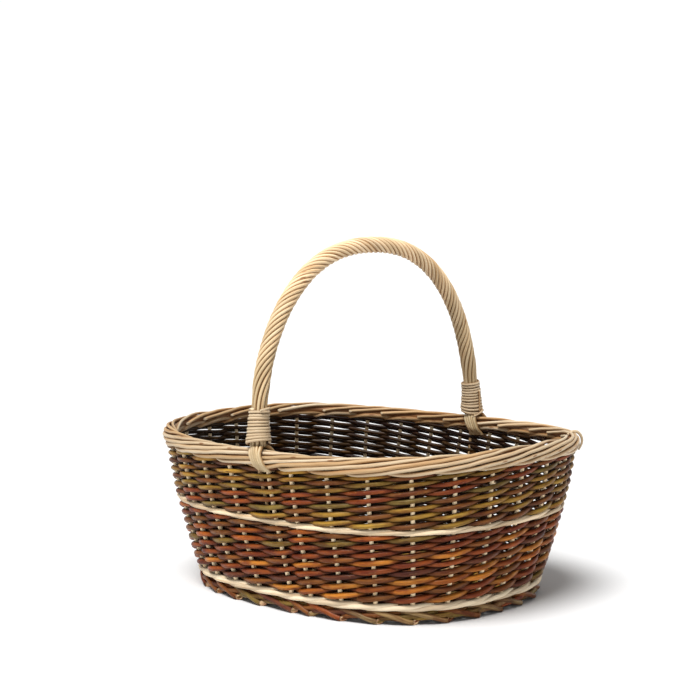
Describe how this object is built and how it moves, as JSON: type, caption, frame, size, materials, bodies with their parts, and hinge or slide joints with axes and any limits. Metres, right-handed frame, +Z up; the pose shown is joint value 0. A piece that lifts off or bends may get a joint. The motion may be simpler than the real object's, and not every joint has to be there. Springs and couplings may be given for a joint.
{
  "type": "woven basket",
  "caption": "Oval willow basket with flared sides, a rolled border and a fixed twisted hoop handle.",
  "frame": {"origin": "on the surface the basket stands on, under the middle of its oval foot", "axes": "+X along the oval's long axis, +Y across it in the plane of the hoop handle, +Z up"},
  "size_m": [0.461, 0.383, 0.387],
  "materials": {
    "peeled_willow": "satin",
    "olive_willow": "satin",
    "red_willow": "satin",
    "foot_willow": "satin",
    "base_willow": "matte"
  },
  "bodies": {
    "root": {"foot_border": "foot_willow", "foot_wale": "peeled_willow", "lower_siding": "red_willow", "waist_wale": "peeled_willow", "upper_siding": "olive_willow", "rolled_border": "peeled_willow", "side_stake_01": "peeled_willow", "side_stake_02": "peeled_willow", "side_stake_03": "peeled_willow", "side_stake_04": "peeled_willow", "side_stake_05": "peeled_willow", "side_stake_06": "peeled_willow", "side_stake_07": "peeled_willow", "side_stake_08": "peeled_willow", "side_stake_09": "peeled_willow", "side_stake_10": "peeled_willow", "side_stake_11": "peeled_willow", "side_stake_12": "peeled_willow", "side_stake_13": "peeled_willow", "side_stake_14": "peeled_willow", "side_stake_15": "peeled_willow", "side_stake_16": "peeled_willow", "side_stake_17": "peeled_willow", "side_stake_18": "peeled_willow", "side_stake_19": "peeled_willow", "side_stake_20": "peeled_willow", "side_stake_21": "peeled_willow", "side_stake_22": "peeled_willow", "side_stake_23": "peeled_willow", "side_stake_24": "peeled_willow", "side_stake_25": "peeled_willow", "side_stake_26": "peeled_willow", "side_stake_27": "peeled_willow", "side_stake_28": "peeled_willow", "side_stake_29": "peeled_willow", "side_stake_30": "peeled_willow", "base_weave": "base_willow", "base_long_stick_1": "peeled_willow", "base_long_stick_2": "peeled_willow", "base_long_stick_3": "peeled_willow", "base_cross_stick_1": "peeled_willow", "base_cross_stick_2": "peeled_willow", "base_cross_stick_3": "peeled_willow", "base_cross_stick_4": "peeled_willow", "base_cross_stick_5": "peeled_willow", "handle_bow": "peeled_willow", "handle_wrap_rod_01": "peeled_willow", "handle_wrap_rod_02": "peeled_willow", "handle_wrap_rod_03": "peeled_willow", "handle_wrap_rod_04": "peeled_willow", "handle_wrap_rod_05": "peeled_willow", "handle_wrap_rod_06": "peeled_willow", "handle_wrap_rod_07": "peeled_willow", "handle_wrap_rod_08": "peeled_willow", "handle_wrap_rod_09": "peeled_willow", "handle_wrap_rod_10": "peeled_willow", "handle_binding_near": "peeled_willow", "handle_binding_far": "peeled_willow"}
  },
  "joints": []
}
